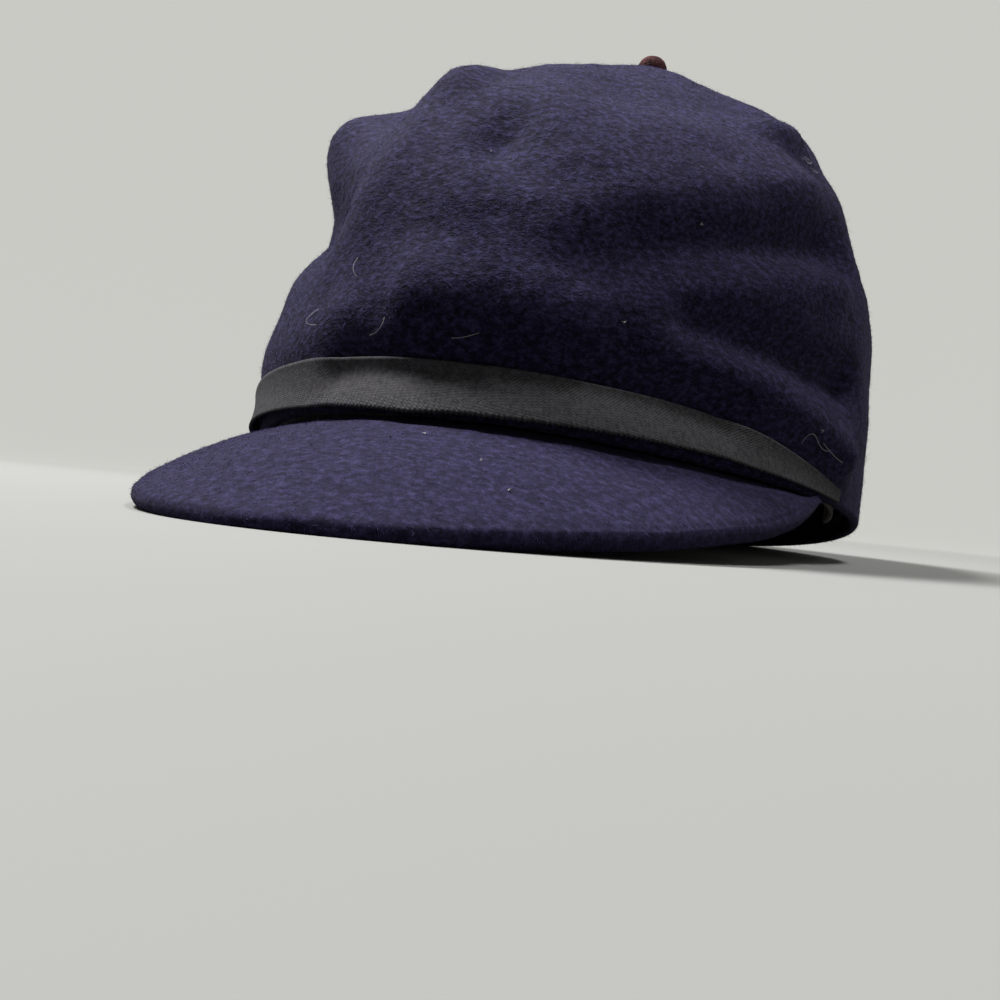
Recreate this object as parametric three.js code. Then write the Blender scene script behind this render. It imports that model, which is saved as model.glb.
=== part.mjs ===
// Earflap cap in napped wool: a soft crown, a peak, a tape across the front, an earflap turned up inside.
// Millimetres, +Z up. The front faces -Y and the wearer's left is +X.
// The cap is shaped on its own rim plane, then tipped onto the floor, where its peak and its back rim rest.
import * as THREE from "three";

// Cloth thicknesses, and the gap kept between pieces
const woolThickness = 2.6;
const flapThickness = 2.2;
const cottonThickness = 1.2;
const tapeThickness = 1;
const facingThickness = 0.9;
const gap = 0.35;

// Crown, from the rim up: half sizes of each section, and how far its middle leans to the wearer's left
const crownSections = [
  { height: 0, front: 106, back: 106, side: 86, lean: 0 },
  { height: 16, front: 107.5, back: 106, side: 86, lean: 0 },
  { height: 38, front: 105.5, back: 108, side: 85.5, lean: 0 },
  { height: 60, front: 100.5, back: 107, side: 83.5, lean: 0 },
  { height: 80, front: 88, back: 101, side: 77, lean: 0 },
  { height: 93, front: 74, back: 90, side: 70, lean: 0 },
  { height: 107, front: 54, back: 77, side: 60, lean: 1 },
  { height: 118, front: 34, back: 57, side: 44, lean: 3 },
  { height: 127.5, front: 16, back: 33, side: 23, lean: 6 },
  { height: 132.5, front: 0, back: 0, side: 0, lean: 11 },
];
const frontNarrowing = 0.17;
const crownColumns = 68;
const crownRows = 25;
const frontCrowding = 0.3;

// Folds of the soft crown, the corners where its panels turn over to the top among them. Each row is a line
// on the crown, raised or pressed in by an amount at each of its ends and fading over its width.
const crownFolds = [
  { fold: "front corner", angle: -12.5, height: 89, toAngle: -11, toHeight: 91, lift: 4.2, toLift: 4.2, width: 7 },
  { fold: "left corner", angle: 60, height: 97, toAngle: 65, toHeight: 99, lift: 4.5, toLift: 4.5, width: 7 },
  { fold: "right corner", angle: -62, height: 87, toAngle: -52, toHeight: 85, lift: 9, toLift: 9, width: 12 },
  { fold: "back corner", angle: 174, height: 92, toAngle: 186, toHeight: 92, lift: 4, toLift: 4, width: 15 },
  { fold: "left back", angle: 122, height: 96, toAngle: 128, toHeight: 97, lift: 4, toLift: 4, width: 14 },
  { fold: "right back", angle: -126, height: 92, toAngle: -118, toHeight: 90, lift: 5, toLift: 5, width: 14 },
  { fold: "left dip", angle: 26, height: 98, toAngle: 58, toHeight: 111, lift: -4, toLift: -4, width: 14 },
  { fold: "right dip", angle: -38, height: 92, toAngle: -30, toHeight: 80, lift: -1.5, toLift: -1.5, width: 10 },
  { fold: "front run", angle: -16, height: 78, toAngle: -18, toHeight: 56, lift: 3, toLift: 2, width: 13 },
  { fold: "front dent", angle: 6, height: 69, toAngle: 16, toHeight: 56, lift: -5, toLift: -1.5, width: 10 },
  { fold: "right dent", angle: -64, height: 61, toAngle: -36, toHeight: 56, lift: -8, toLift: -8, width: 13 },
  { fold: "upper crest", angle: 22, height: 50, toAngle: 64, toHeight: 77, lift: 1, toLift: 3.5, width: 9 },
  { fold: "upper valley", angle: 16, height: 33, toAngle: 70, toHeight: 66.5, lift: 0, toLift: -7.5, width: 8.5 },
  { fold: "left ridge", angle: 30, height: 32, toAngle: 70, toHeight: 56.5, lift: 1, toLift: 3.5, width: 6 },
  { fold: "lower valley", angle: 42, height: 30, toAngle: 76, toHeight: 32, lift: -3, toLift: -6, width: 6 },
  { fold: "slanting ridge", angle: 34, height: 28, toAngle: 74, toHeight: 13, lift: 1.5, toLift: 5, width: 6.5 },
  { fold: "front swell", angle: -3, height: 28, toAngle: 24, toHeight: 28, lift: 3.2, toLift: 2, width: 10 },
  { fold: "right swell", angle: -54, height: 19, toAngle: -18, toHeight: 21, lift: 2, toLift: 2, width: 9 },
  { fold: "front tuck", angle: -16, height: 9, toAngle: 10, toHeight: 10, lift: -2, toLift: -3.8, width: 6.5 },
  { fold: "left tuck", angle: 16, height: 12, toAngle: 48, toHeight: 11.5, lift: -3.8, toLift: -3.4, width: 6.5 },
  { fold: "back hollow", angle: 150, height: 66, toAngle: 196, toHeight: 58, lift: -4, toLift: -4, width: 12 },
  { fold: "left hollow", angle: 92, height: 74, toAngle: 122, toHeight: 68, lift: -3, toLift: -3, width: 12 },
  { fold: "right hollow", angle: -118, height: 58, toAngle: -92, toHeight: 66, lift: -4, toLift: -4, width: 12 },
  { fold: "back sag", angle: 140, height: 34, toAngle: 214, toHeight: 30, lift: 2, toLift: 2, width: 12 },
];

// Peak: its front edge swings from one end of the rim's front arc to the other
const peakEndAngle = 67.8;
const peakHalfWidth = 80;
const peakPinch = 0.14;
const peakReach = 123;
const peakDrop = 33;
const peakDropSharpness = 0.64;
const peakThickness = 4.6;
const peakEndThickness = 1.8;
const peakBulge = 1.5;
const hemWidth = 6;
const facingRecess = 1.3;
const peakStations = 41;
const facingSpan = 72;
const facingStations = 29;

// Tape across the front, by angle from the front: the heights of its two edges, and how far the lower one
// stands off the crown. A height below nought hangs under the rim.
const tapeSections = [
  { angle: 0, low: -0.6, high: 12.6, standoff: 2 },
  { angle: 25, low: 1, high: 12.4, standoff: 2 },
  { angle: 50, low: 1.6, high: 11.4, standoff: 1.6 },
  { angle: 74, low: 0.8, high: 3.8, standoff: 0.2 },
];
const tapeClearance = 0.7;
const tapeColumns = 45;
const tapeRows = 4;

// Sweatband and earflap inside the rim
const sweatbandEnd = 108;
const sweatbandLow = 3;
const sweatbandHigh = 26;
const sweatbandClearance = 1.7;
const sweatbandStandoff = 5.7;
const sweatbandColumns = 55;
const sweatbandRows = 4;
const earflapSections = [
  { angle: 84, high: 24 },
  { angle: 100, high: 40 },
  { angle: 124, high: 46 },
  { angle: 152, high: 47 },
  { angle: 180, high: 47 },
];
const earflapClearance = 0.6;
const earflapLow = 4.5;
const earflapColumns = 41;
const earflapRows = 8;
const flapLedge = 12;

// Button at the top of the crown
const buttonRadius = 4.6;
const buttonHeight = 5.2;
const buttonSeatSlope = 0.16;
const buttonSides = 16;

// How deep the floor presses into the soft back rim and the peak's edge at rest
const rimPress = 2;
const peakPress = 1;

const radians = THREE.MathUtils.degToRad;
const degrees = THREE.MathUtils.radToDeg;

// Value of one column of a table between its rows, on a smooth curve through them
function between(rows, column, position) {
  const last = rows.length - 1;
  const start = THREE.MathUtils.clamp(Math.floor(position), 0, last - 1);
  const value = (index) => rows[THREE.MathUtils.clamp(index, 0, last)][column];
  const part = position - start;
  const rise = (value(start + 1) - value(start - 1)) / 2;
  const nextRise = (value(start + 2) - value(start)) / 2;
  const step = value(start + 1) - value(start);
  const bend = 3 * step - 2 * rise - nextRise;
  const twist = rise + nextRise - 2 * step;
  return value(start) + part * (rise + part * (bend + part * twist));
}

// Position in a table, counted in rows, where a rising column reaches a value
function positionOf(rows, column, value) {
  let low = 0;
  let high = rows.length - 1;
  for (let halving = 0; halving < 30; halving += 1) {
    const middle = (low + high) / 2;
    if (between(rows, column, middle) < value) low = middle;
    else high = middle;
  }
  return (low + high) / 2;
}

// Evenly spaced values from first to last
function spread(count, first, last) {
  return Array.from({ length: count }, (_, index) => first + ((last - first) * index) / (count - 1));
}

// Unfolded crown at an angle from the front, in degrees, and a position in the table of sections
function smoothCrown(angle, position) {
  const turn = radians(angle);
  const reach = between(crownSections, Math.cos(turn) > 0 ? "front" : "back", position);
  const narrowing = frontNarrowing * Math.max(Math.cos(turn), 0) ** 2;
  const half = between(crownSections, "side", position) * (1 - narrowing);
  return new THREE.Vector3(
    between(crownSections, "lean", position) + half * Math.sin(turn),
    -reach * Math.cos(turn),
    between(crownSections, "height", position),
  );
}

// Outward direction of a surface given by angle and position
function outwardOf(surface, angle, position) {
  const top = crownSections.length - 1;
  const here = Math.min(position, top - 0.02);
  const along = surface(angle + 0.5, here).sub(surface(angle - 0.5, here));
  const upward = surface(angle, Math.min(here + 0.02, top)).sub(surface(angle, Math.max(here - 0.02, 0)));
  return along.cross(upward).normalize();
}

// How far the folds raise the smooth crown at a point, which is at an angle from the front
function foldRaise(angle, point) {
  const arc = radians(Math.hypot(point.x, point.y));
  let raise = 0;
  for (const fold of crownFolds) {
    const turn = THREE.MathUtils.euclideanModulo(angle - fold.angle + 180, 360) - 180;
    const away = new THREE.Vector2(turn * arc, point.z - fold.height);
    const line = new THREE.Vector2((fold.toAngle - fold.angle) * arc, fold.toHeight - fold.height);
    const share = THREE.MathUtils.clamp(away.dot(line) / Math.max(line.lengthSq(), 1), 0, 1);
    const distance = away.addScaledVector(line, -share).length();
    const height = THREE.MathUtils.lerp(fold.lift, fold.toLift, share);
    raise += height * Math.exp(-((distance / fold.width) ** 2));
  }
  return raise;
}

function crownOuter(angle, position) {
  const point = smoothCrown(angle, position);
  return point.addScaledVector(outwardOf(smoothCrown, angle, position), foldRaise(angle, point));
}

// Point a given depth inside the crown's outer face, or outside it where the depth is negative
function crownInset(angle, position, depth, surface = crownOuter) {
  return surface(angle, position).addScaledVector(outwardOf(surface, angle, position), -depth);
}

function crownInsetAtHeight(angle, height, depth, surface = crownOuter) {
  return crownInset(angle, positionOf(crownSections, "height", height), depth, surface);
}

// Closed body from points and triangles, leaving out triangles that shrink to a line
function bodyOf(points, triangles) {
  const isFlat = ([a, b, c]) =>
    points[a].distanceTo(points[b]) < 1e-3 ||
    points[b].distanceTo(points[c]) < 1e-3 ||
    points[c].distanceTo(points[a]) < 1e-3;
  const geometry = new THREE.BufferGeometry().setFromPoints(points);
  geometry.setIndex(triangles.filter((triangle) => !isFlat(triangle)).flat());
  return geometry;
}

// Closed wall between two grids of points. Rows run up and columns run anticlockwise seen from above.
// A ring's columns join up, and a domed ring's last row is one point.
function wallBetween(outer, inner, { ring = false, domed = false } = {}) {
  const rows = outer.length;
  const columns = outer[0].length;
  const spans = ring ? columns : columns - 1;
  const out = (row, column) => row * columns + (column % columns);
  const back = (row, column) => rows * columns + out(row, column);
  const triangles = [];
  const quad = (a, b, c, d) => triangles.push([a, b, c], [a, c, d]);
  for (let column = 0; column < spans; column += 1) {
    const next = column + 1;
    for (let row = 0; row < rows - 1; row += 1) {
      quad(out(row, column), out(row, next), out(row + 1, next), out(row + 1, column));
      quad(back(row, column), back(row + 1, column), back(row + 1, next), back(row, next));
    }
    quad(back(0, column), back(0, next), out(0, next), out(0, column));
    const top = rows - 1;
    if (!domed) quad(out(top, column), out(top, next), back(top, next), back(top, column));
  }
  for (let row = 0; row < rows - 1 && !ring; row += 1) {
    const end = columns - 1;
    quad(back(row, 0), out(row, 0), out(row + 1, 0), back(row + 1, 0));
    quad(out(row, end), back(row, end), back(row + 1, end), out(row + 1, end));
  }
  return bodyOf([...outer.flat(), ...inner.flat()], triangles);
}

// Closed body through a row of like loops, each an array of points, with both ends capped
function loftThrough(loops, profile) {
  const count = loops[0].length;
  const triangles = [];
  for (let station = 0; station < loops.length - 1; station += 1) {
    for (let corner = 0; corner < count; corner += 1) {
      const a = station * count + corner;
      const b = station * count + ((corner + 1) % count);
      triangles.push([a, b + count, a + count], [a, b, b + count]);
    }
  }
  const lastLoop = (loops.length - 1) * count;
  for (const [a, b, c] of THREE.ShapeUtils.triangulateShape(profile, [])) {
    triangles.push([a, b, c], [lastLoop + a, lastLoop + c, lastLoop + b]);
  }
  return bodyOf(loops.flat(), triangles);
}

// Crown: a hollow wool wall, open below
function makeCrown() {
  const angles = spread(crownColumns + 1, -180, 180).slice(0, -1);
  const crowded = angles.map((angle) => angle - degrees(frontCrowding * Math.sin(radians(angle))));
  const positions = spread(crownRows, 0, crownSections.length - 1);
  const outer = positions.map((position) => crowded.map((angle) => crownOuter(angle, position)));
  const inner = positions.map((position) =>
    crowded.map((angle) => crownInset(angle, position, woolThickness)),
  );
  const top = smoothCrown(0, crownSections.length - 1);
  outer.at(-1).forEach((point) => point.copy(top));
  inner.at(-1).forEach((point) => point.copy(top).setZ(top.z - woolThickness));
  inner[0].forEach((point) => point.setZ(0));
  return wallBetween(outer, inner, { ring: true, domed: true });
}

// Front edge of the peak, by swing from -90 at one end to 90 at the other
function peakEdge(swing) {
  const turn = radians(swing);
  const forward = Math.abs(Math.cos(turn));
  const end = smoothCrown(peakEndAngle, 0);
  return new THREE.Vector3(
    peakHalfWidth * (1 - peakPinch * forward ** 2) * Math.sin(turn),
    end.y - peakReach * forward,
    -peakDrop * forward ** peakDropSharpness,
  );
}

// Strip of the peak at one swing: where it starts under the crown, its two directions and its sizes
function peakStrip(swing) {
  const root = crownInset((peakEndAngle * swing) / 90, 0, woolThickness).setZ(-gap);
  const tip = peakEdge(swing).add(new THREE.Vector3(0, 0, peakThickness * 0.6));
  tip.z = Math.min(tip.z, root.z);
  const aside = peakEdge(Math.min(swing + 1, 90)).sub(peakEdge(Math.max(swing - 1, -90)));
  const along = tip.clone().sub(root);
  const length = along.length();
  along.normalize();
  const up = aside.cross(along).negate().normalize();
  if (up.z < 0) up.negate();
  const fullness = THREE.MathUtils.smoothstep(length, 3, 16);
  return {
    root,
    along,
    up,
    length,
    thickness: THREE.MathUtils.lerp(peakEndThickness, peakThickness, fullness),
    hem: Math.min(hemWidth, 0.4 * length),
    recess: facingRecess * fullness,
    bulge: peakBulge * fullness,
  };
}

function onStrip(strip, forward, upward) {
  return strip.root.clone().addScaledVector(strip.along, forward).addScaledVector(strip.up, upward);
}

// Rise of the peak's curved top over the straight line from root to edge
function bulgeAt(strip, forward) {
  return strip.bulge * Math.sin(Math.PI * THREE.MathUtils.clamp(forward / strip.length, 0, 1));
}

// Loop round one strip, as forward and upward distances: top, rolled edge, hem, then the recessed underside
function peakProfile(strip) {
  const round = strip.thickness / 2;
  const front = strip.length - round;
  const inside = strip.length - strip.hem;
  const profile = [];
  for (const share of [0, 0.25, 0.5, 0.75]) {
    profile.push(new THREE.Vector2(front * share, bulgeAt(strip, front * share)));
  }
  for (const turn of [90, 50, 15, -20, -55, -90]) {
    const swing = radians(turn);
    profile.push(new THREE.Vector2(front + round * Math.cos(swing), round * Math.sin(swing) - round));
  }
  profile.push(new THREE.Vector2(inside, bulgeAt(strip, inside) - strip.thickness));
  for (const share of [1, 0.66, 0.33, 0]) {
    const forward = inside * share;
    profile.push(new THREE.Vector2(forward, bulgeAt(strip, forward) - strip.thickness + strip.recess));
  }
  return profile;
}

function makePeak() {
  const strips = spread(peakStations, -90, 90).map(peakStrip);
  const loops = strips.map((strip) => peakProfile(strip).map((place) => onStrip(strip, place.x, place.y)));
  return loftThrough(loops, peakProfile(strips[0]));
}

// Cloth facing, let into the underside of the peak
function makePeakUnderside() {
  const strips = spread(facingStations, -facingSpan, facingSpan).map(peakStrip);
  const shares = [0.08, 0.3, 0.55, 0.8, 1];
  const layer = (depth) =>
    shares.map((share) =>
      strips.map((strip) => {
        const forward = share * (strip.length - strip.hem - gap);
        return onStrip(strip, forward, bulgeAt(strip, forward) - strip.thickness + strip.recess - depth);
      }),
    );
  return wallBetween(layer(gap + facingThickness), layer(gap));
}

// Tape on the outside of the crown, its lower edge standing off
function makeFrontBand() {
  const end = tapeSections.at(-1).angle;
  const angles = spread(tapeColumns, -end, end);
  const layer = (depth) =>
    spread(tapeRows, 0, 1).map((share) =>
      angles.map((angle) => {
        const position = positionOf(tapeSections, "angle", Math.abs(angle));
        const low = between(tapeSections, "low", position);
        const high = between(tapeSections, "high", position);
        const height = THREE.MathUtils.lerp(low, high, share);
        const standoff = tapeClearance + between(tapeSections, "standoff", position) * (1 - share) ** 2;
        const point = crownInsetAtHeight(angle, height, -(standoff + depth));
        point.z += Math.min(height, 0);
        return point;
      }),
    );
  return wallBetween(layer(tapeThickness), layer(0));
}

// Sweatband inside the front and sides, over the ends of the earflap
function makeSweatband() {
  const flapStart = earflapSections[0].angle;
  const angles = spread(sweatbandColumns, -sweatbandEnd, sweatbandEnd);
  const layer = (depth) =>
    spread(sweatbandRows, 0, 1).map((share) =>
      angles.map((angle) => {
        const overFlap = THREE.MathUtils.smoothstep(Math.abs(angle), flapStart - flapLedge, flapStart - 2);
        const flapStandoff = overFlap * (flapThickness + earflapClearance);
        const standoff = Math.max(flapStandoff, sweatbandStandoff * Math.sqrt(share));
        const height = THREE.MathUtils.lerp(sweatbandLow, sweatbandHigh, share);
        const inset = woolThickness + sweatbandClearance + standoff + depth;
        return crownInsetAtHeight(angle, height, inset, smoothCrown);
      }),
    );
  return wallBetween(layer(0), layer(cottonThickness));
}

// Earflap turned up inside, round the sides and back
function makeEarflap() {
  const start = earflapSections[0].angle;
  const angles = spread(earflapColumns, start, 360 - start);
  const layer = (depth) =>
    spread(earflapRows, 0, 1).map((share) =>
      angles.map((angle) => {
        const position = positionOf(earflapSections, "angle", 180 - Math.abs(angle - 180));
        const high = between(earflapSections, "high", position);
        const inset = woolThickness + earflapClearance + depth;
        return crownInsetAtHeight(angle, THREE.MathUtils.lerp(earflapLow, high, share), inset);
      }),
    );
  return wallBetween(layer(0), layer(flapThickness));
}

// Domed button on the top of the crown, its underside sloping down with the crown
function makeTopButton() {
  const top = smoothCrown(0, crownSections.length - 1);
  const seatRadius = buttonRadius * 0.9;
  const outline = [
    new THREE.Vector2(0, 0),
    new THREE.Vector2(seatRadius, -buttonSeatSlope * seatRadius),
    new THREE.Vector2(buttonRadius, buttonHeight * 0.2),
    new THREE.Vector2(buttonRadius * 0.82, buttonHeight * 0.68),
    new THREE.Vector2(buttonRadius * 0.42, buttonHeight * 0.94),
    new THREE.Vector2(0, buttonHeight),
  ];
  const geometry = new THREE.LatheGeometry(outline, buttonSides);
  geometry.rotateX(Math.PI / 2);
  return geometry.translate(top.x, top.y, top.z + gap);
}

// Lay a piece on the floor: tip the cap until its peak and back rim are level, and flatten what is below
function settle(geometry) {
  const back = crownSections[0].back;
  const strip = peakStrip(0);
  const tip = onStrip(strip, strip.length - strip.thickness / 2, -strip.thickness);
  const slope = (rimPress - peakPress - tip.z) / (back - tip.y);
  geometry.translate(0, -back, -rimPress);
  geometry.rotateX(-Math.atan(slope));
  const place = geometry.getAttribute("position");
  for (let index = 0; index < place.count; index += 1) {
    place.setZ(index, Math.max(place.getZ(index), 0));
  }
}

const pieces = [
  { name: "crown", make: makeCrown, color: 0x23263f, roughness: 0.95 },
  { name: "peak", make: makePeak, color: 0x262a47, roughness: 0.95 },
  { name: "peak_underside", make: makePeakUnderside, color: 0x6b6865, roughness: 0.9 },
  { name: "front_band", make: makeFrontBand, color: 0x3a3b3e, roughness: 0.85 },
  { name: "sweatband", make: makeSweatband, color: 0x8a8781, roughness: 0.9 },
  { name: "earflap", make: makeEarflap, color: 0x1d2034, roughness: 0.95 },
  { name: "top_button", make: makeTopButton, color: 0x5a2723, roughness: 0.8 },
];

const cap = new THREE.Group();
cap.name = "earflap_cap";
for (const piece of pieces) {
  const geometry = piece.make();
  settle(geometry);
  geometry.computeVertexNormals();
  const material = new THREE.MeshStandardMaterial({ color: piece.color, roughness: piece.roughness });
  const mesh = new THREE.Mesh(geometry, material);
  mesh.name = piece.name;
  cap.add(mesh);
}

// The origin is the middle of the footprint
const middle = new THREE.Box3().setFromObject(cap).getCenter(new THREE.Vector3());
cap.children.forEach((mesh) => mesh.geometry.translate(-middle.x, -middle.y, 0));

export default cap;
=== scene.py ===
"""Earflap cap in napped wool: fine cloth meshes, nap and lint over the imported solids, on a pale floor."""

import math

import bpy
import numpy as np
from mathutils import Euler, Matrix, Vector


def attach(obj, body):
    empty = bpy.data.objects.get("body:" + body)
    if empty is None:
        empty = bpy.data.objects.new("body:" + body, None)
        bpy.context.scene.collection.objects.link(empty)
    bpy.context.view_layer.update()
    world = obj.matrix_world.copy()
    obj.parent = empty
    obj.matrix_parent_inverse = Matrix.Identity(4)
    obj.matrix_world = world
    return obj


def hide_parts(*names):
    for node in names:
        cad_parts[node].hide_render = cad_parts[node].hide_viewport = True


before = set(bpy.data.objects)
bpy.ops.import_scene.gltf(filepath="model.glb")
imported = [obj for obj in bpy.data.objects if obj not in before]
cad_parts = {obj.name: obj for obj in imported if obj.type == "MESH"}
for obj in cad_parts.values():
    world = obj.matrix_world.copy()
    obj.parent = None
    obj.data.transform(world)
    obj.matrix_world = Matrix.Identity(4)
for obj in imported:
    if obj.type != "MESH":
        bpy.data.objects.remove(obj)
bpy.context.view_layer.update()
rng = np.random.default_rng(7)

# Metres in a millimetre
MM = 0.001

# Cloth thicknesses and gaps in millimetres, as in the part's source
WOOL_THICKNESS = 2.6
FLAP_THICKNESS = 2.2
COTTON_THICKNESS = 1.2
TAPE_THICKNESS = 1.0
FACING_THICKNESS = 0.9
GAP = 0.35

# Crown, from the rim up: half sizes of each section, and how far its middle leans to the wearer's left
CROWN_SECTIONS = [
    dict(height=0, front=106, back=106, side=86, lean=0),
    dict(height=16, front=107.5, back=106, side=86, lean=0),
    dict(height=38, front=105.5, back=108, side=85.5, lean=0),
    dict(height=60, front=100.5, back=107, side=83.5, lean=0),
    dict(height=80, front=88, back=101, side=77, lean=0),
    dict(height=93, front=74, back=90, side=70, lean=0),
    dict(height=107, front=54, back=77, side=60, lean=1),
    dict(height=118, front=34, back=57, side=44, lean=3),
    dict(height=127.5, front=16, back=33, side=23, lean=6),
    dict(height=132.5, front=0, back=0, side=0, lean=11),
]
CROWN_TOP = len(CROWN_SECTIONS) - 1
FRONT_NARROWING = 0.17

# Folds of the soft crown: each row is a line on it, raised or pressed in and fading over its width
FOLD_COLUMNS = ("fold", "angle", "height", "to_angle", "to_height", "lift", "to_lift", "width")
FOLD_ROWS = [
    ("front corner", -12.5, 89, -11, 91, 4.2, 4.2, 7),
    ("left corner", 60, 97, 65, 99, 4.5, 4.5, 7),
    ("right corner", -62, 87, -52, 85, 9, 9, 12),
    ("back corner", 174, 92, 186, 92, 4, 4, 15),
    ("left back", 122, 96, 128, 97, 4, 4, 14),
    ("right back", -126, 92, -118, 90, 5, 5, 14),
    ("left dip", 26, 98, 58, 111, -4, -4, 14),
    ("right dip", -38, 92, -30, 80, -1.5, -1.5, 10),
    ("front run", -16, 78, -18, 56, 3, 2, 13),
    ("front dent", 6, 69, 16, 56, -5, -1.5, 10),
    ("right dent", -64, 61, -36, 56, -8, -8, 13),
    ("upper crest", 22, 50, 64, 77, 1, 3.5, 9),
    ("upper valley", 16, 33, 70, 66.5, 0, -7.5, 8.5),
    ("left ridge", 30, 32, 70, 56.5, 1, 3.5, 6),
    ("lower valley", 42, 30, 76, 32, -3, -6, 6),
    ("slanting ridge", 34, 28, 74, 13, 1.5, 5, 6.5),
    ("front swell", -3, 28, 24, 28, 3.2, 2, 10),
    ("right swell", -54, 19, -18, 21, 2, 2, 9),
    ("front tuck", -16, 9, 10, 10, -2, -3.8, 6.5),
    ("left tuck", 16, 12, 48, 11.5, -3.8, -3.4, 6.5),
    ("back hollow", 150, 66, 196, 58, -4, -4, 12),
    ("left hollow", 92, 74, 122, 68, -3, -3, 12),
    ("right hollow", -118, 58, -92, 66, -4, -4, 12),
    ("back sag", 140, 34, 214, 30, 2, 2, 12),
]
CROWN_FOLDS = [dict(zip(FOLD_COLUMNS, row)) for row in FOLD_ROWS]
CROWN_COLUMNS = 380
CROWN_ROWS = 130
CROWN_INNER_ROWS = 40
RIM_ROUNDING = 1.2
RIM_STEPS = 7

# Unevenness of the felted cloth: wavelength and height of each ripple
CLOTH_RIPPLES = [
    dict(wavelength=30, height=0.25),
    dict(wavelength=12, height=0.1),
    dict(wavelength=4.5, height=0.06),
]
RIPPLE_START_HEIGHT = 14
RIPPLE_FULL_HEIGHT = 22

# Peak: its front edge swings from one end of the rim's front arc to the other
PEAK_END_ANGLE = 67.8
PEAK_HALF_WIDTH = 80
PEAK_PINCH = 0.14
PEAK_REACH = 123
PEAK_DROP = 33
PEAK_DROP_SHARPNESS = 0.64
PEAK_THICKNESS = 4.6
PEAK_END_THICKNESS = 1.8
PEAK_BULGE = 1.5
HEM_WIDTH = 6
FACING_RECESS = 1.3
PEAK_STATIONS = 260
PEAK_TOP_STEPS = 40
PEAK_EDGE_STEPS = 17
PEAK_UNDER_STEPS = 12
PEAK_RELIEF = 0.5
FACING_SPAN = 72
FACING_STATIONS = 150
FACING_STEPS = 14
FACING_START = 0.08

# Tape across the front, by angle from the front: the heights of its two edges, below nought where it hangs
# under the rim, and how far the lower edge stands off the crown
TAPE_SECTIONS = [
    dict(angle=0, low=-0.6, high=12.6, standoff=2),
    dict(angle=25, low=1, high=12.4, standoff=2),
    dict(angle=50, low=1.6, high=11.4, standoff=1.6),
    dict(angle=74, low=0.8, high=3.8, standoff=0.2),
]
TAPE_CLEARANCE = 0.7
TAPE_STATIONS = 1500
TAPE_STEPS = 16
TAPE_BACK_STEPS = 5
RIB_PITCH = 1.15
RIB_LEAN = 1.5
RIB_TURN_HEIGHT = 3.2
EDGE_SERRATION = 0.16

# Sweatband and earflap inside the rim
SWEATBAND_END = 108
SWEATBAND_LOW = 3
SWEATBAND_HIGH = 26
SWEATBAND_CLEARANCE = 1.7
SWEATBAND_STANDOFF = 5.7
SWEATBAND_STATIONS = 300
SWEATBAND_STEPS = 16
EARFLAP_SECTIONS = [
    dict(angle=84, high=24),
    dict(angle=100, high=40),
    dict(angle=124, high=46),
    dict(angle=152, high=47),
    dict(angle=180, high=47),
]
EARFLAP_CLEARANCE = 0.6
EARFLAP_LOW = 4.5
EARFLAP_STATIONS = 320
EARFLAP_STEPS = 30
FLAP_LEDGE = 12

# Button at the top of the crown, and its outline from the seat up in shares of its radius and height
BUTTON_RADIUS = 4.6
BUTTON_HEIGHT = 5.2
BUTTON_SEAT_SLOPE = 0.16
BUTTON_PLEATS = 9
BUTTON_PLEAT_DEPTH = 0.04
BUTTON_SIDES = 72
BUTTON_SEAT = -BUTTON_SEAT_SLOPE * BUTTON_RADIUS / BUTTON_HEIGHT
BUTTON_OUTLINE = [
    dict(radius=0.02, height=0),
    dict(radius=0.5, height=0.5 * BUTTON_SEAT),
    dict(radius=0.9, height=0.9 * BUTTON_SEAT),
    dict(radius=0.98, height=0.04),
    dict(radius=1, height=0.2),
    dict(radius=0.95, height=0.45),
    dict(radius=0.82, height=0.68),
    dict(radius=0.64, height=0.84),
    dict(radius=0.42, height=0.94),
    dict(radius=0.2, height=0.99),
    dict(radius=0.02, height=1),
]

# Nap of the wool: how many fibres on the crown and on the peak, where they are shorter, and their sizes
NAP_LAYERS = [
    dict(layer="nap", crown=180000, peak=60000, length=0.85, width=0.12, lift=0.35, segments=1),
    dict(layer="wisps", crown=45000, peak=12000, length=1.1, width=0.17, lift=0.2, segments=2),
    dict(layer="fuzz", crown=36000, peak=14000, length=1.5, width=0.05, lift=0.6, segments=2),
]
PEAK_NAP_SHARE = 0.6
PEAK_NAP_STEEPNESS = 1.3
NAP_CLUMP = 2.4
NAP_SQUASH = 1.5

# How the fibres lie, bend and grow, and how light they are
SWIRL_WAVELENGTH = 9
SWIRL_TURN = 0.8
SWIRL_SPREAD = 1.6
SWIRL_SEED = 21
CLUMP_SEED = 22
CLUMP_GROWTH = 0.35
FIBRE_CLEARANCE = 0.1
FIBRE_ROOT_DEPTH = 0.1
FIBRE_BEND = 0.9
FIBRE_TWIST = 0.6
TONE_MIDDLE = 0.41
TONE_CLUMP = 0.45
TONE_SPREAD = 0.08

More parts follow.
